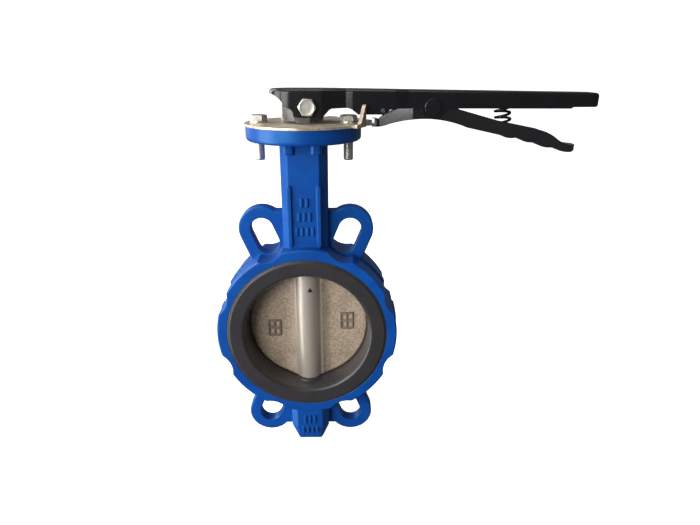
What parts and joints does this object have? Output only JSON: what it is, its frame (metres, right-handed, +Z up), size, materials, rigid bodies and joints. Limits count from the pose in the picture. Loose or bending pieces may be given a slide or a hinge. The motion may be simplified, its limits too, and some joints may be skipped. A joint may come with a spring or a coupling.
{
  "type": "butterfly valve",
  "caption": "Wafer butterfly valve with a rubber seat, quarter-turn disc, tall neck and a sprung-trigger hand lever over a notched position plate.",
  "frame": {"origin": "middle of the bore, on the stem's axis", "axes": "+Y along the pipe, away from the face with the set bolt; +Z up the stem towards the lever; +X the way the lever points when the valve is closed"},
  "size_m": [0.3028, 0.1025, 0.3119],
  "materials": {
    "body_paint": "gloss blue enamel over a cast surface",
    "seat_rubber": "moulded EPDM rubber, satin",
    "backing_resin": "phenolic resin",
    "bushing_bronze": "machined bronze",
    "seal_rubber": "smooth",
    "washer_nylon": "moulded nylon",
    "plate_zinc": "zinc plated, pale yellow passivated",
    "bolt_zinc": "bright zinc plated",
    "stem_steel": "ground stainless steel",
    "disc_cast": "nickel coated casting, the hub polished",
    "lever_paint": "gloss black enamel on pressed steel",
    "socket_steel": "bare steel",
    "spring_steel": "blackened spring steel"
  },
  "bodies": {
    "body": {"valve_body": "body_paint", "seat_liner": "seat_rubber", "seat_backing": "backing_resin", "upper_bushing": "bushing_bronze", "middle_bushing": "bushing_bronze", "lower_bushing": "bushing_bronze", "stem_o_rings": "seal_rubber", "top_thrust_washer": "washer_nylon", "foot_thrust_pad": "washer_nylon", "notch_plate": "plate_zinc", "plate_bolts": "bolt_zinc", "lock_washers": "bolt_zinc"},
    "operator": {"stem": "stem_steel", "disc": "disc_cast", "disc_pins": "stem_steel", "stem_retaining_ring": "spring_steel", "lever": "lever_paint", "lever_socket": "socket_steel", "set_bolt": "bolt_zinc", "trigger_pivot": "lever_paint", "stop_pin": "bolt_zinc", "trigger_spring": "spring_steel"},
    "trigger": {"trigger": "lever_paint"}
  },
  "joints": [
    {"name": "stem_turn", "type": "hinge", "parent": "body", "child": "operator", "pos_m": [0, 0, 0], "axis": [0, 0, 1], "range_deg": [0, 90]},
    {"name": "trigger_squeeze", "type": "hinge", "parent": "operator", "child": "trigger", "pos_m": [0.0985, 0, 0.1852], "axis": [0, -1, 0], "range_deg": [0, 10], "stiffness_Nm_per_rad": 3, "springref_deg": -17.19, "deforming": ["trigger_spring"]}
  ]
}
